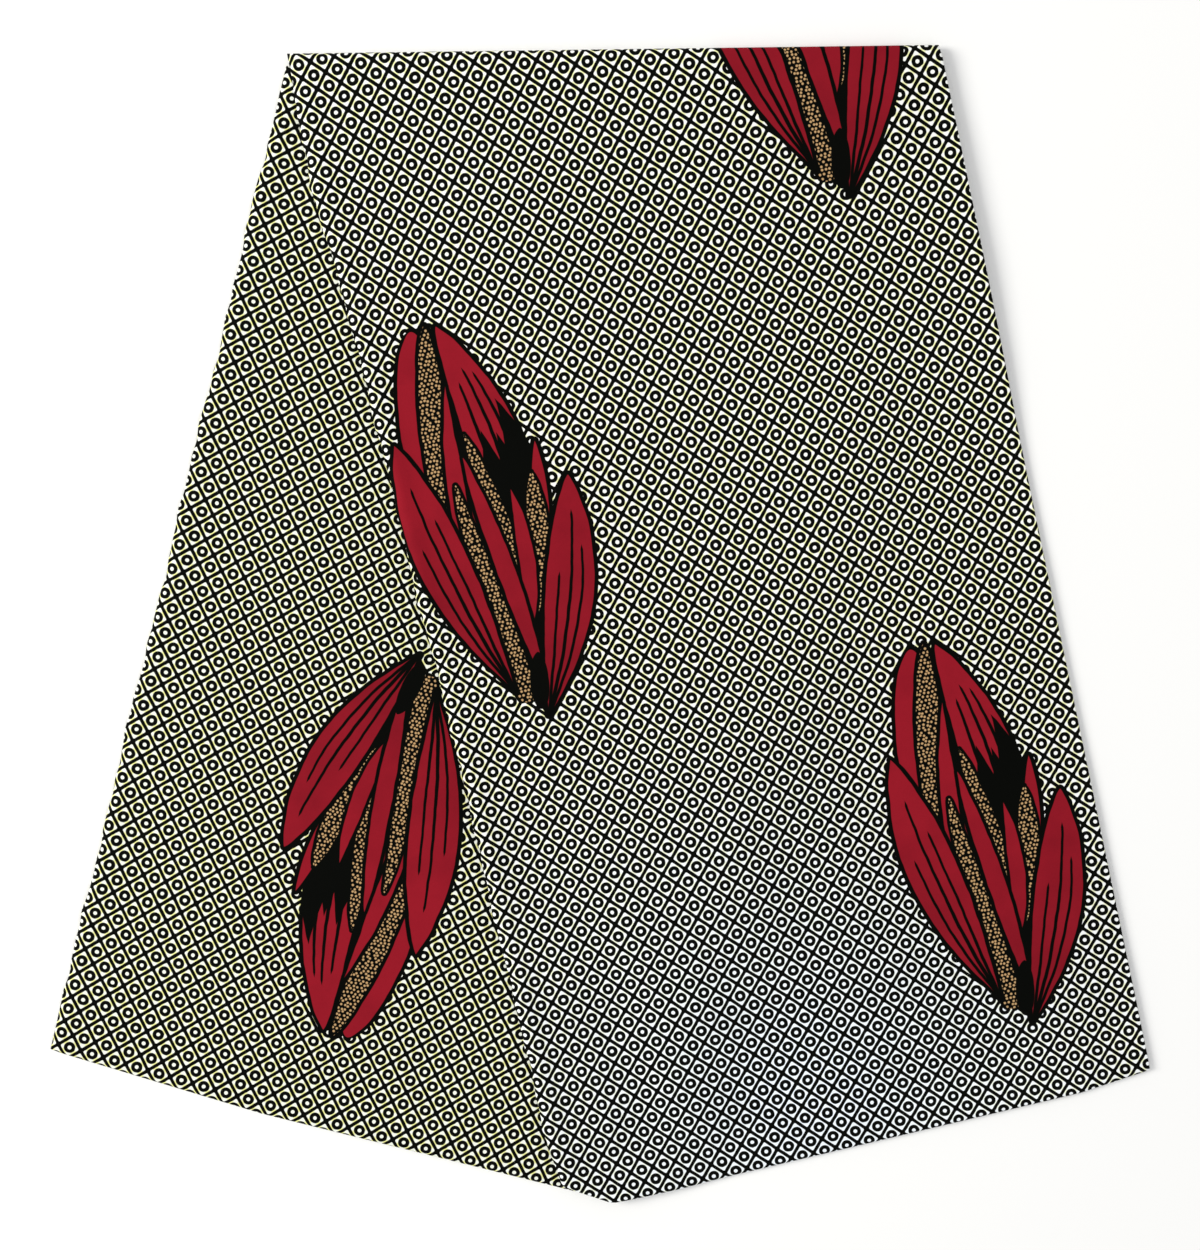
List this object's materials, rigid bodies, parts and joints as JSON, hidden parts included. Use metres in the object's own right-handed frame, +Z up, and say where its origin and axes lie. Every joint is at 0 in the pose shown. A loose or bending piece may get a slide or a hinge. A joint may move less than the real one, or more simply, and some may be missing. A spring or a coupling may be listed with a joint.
{
  "type": "folded wax print fabric",
  "caption": "Length of printed cotton cloth, doubled and folded into a flat two-panel fan with a rolled top fold, for display, draping or cutting.",
  "frame": {"origin": "on the surface the cloth rests on, under the middle of its box", "axes": "+Z up; +Y along the cloth from its loose ends to the top fold; +X towards the upper half"},
  "size_m": [1.0423, 1.0723, 0.0136],
  "materials": {
    "printed_cotton": "plain-woven cotton, lightly glazed, printed with a ring-and-grid ground and red buds"
  },
  "bodies": {
    "root": {"upper_panel": "printed_cotton", "upper_hidden_layers": "printed_cotton", "lower_panel": "printed_cotton", "lower_hidden_layers": "printed_cotton"}
  },
  "joints": []
}
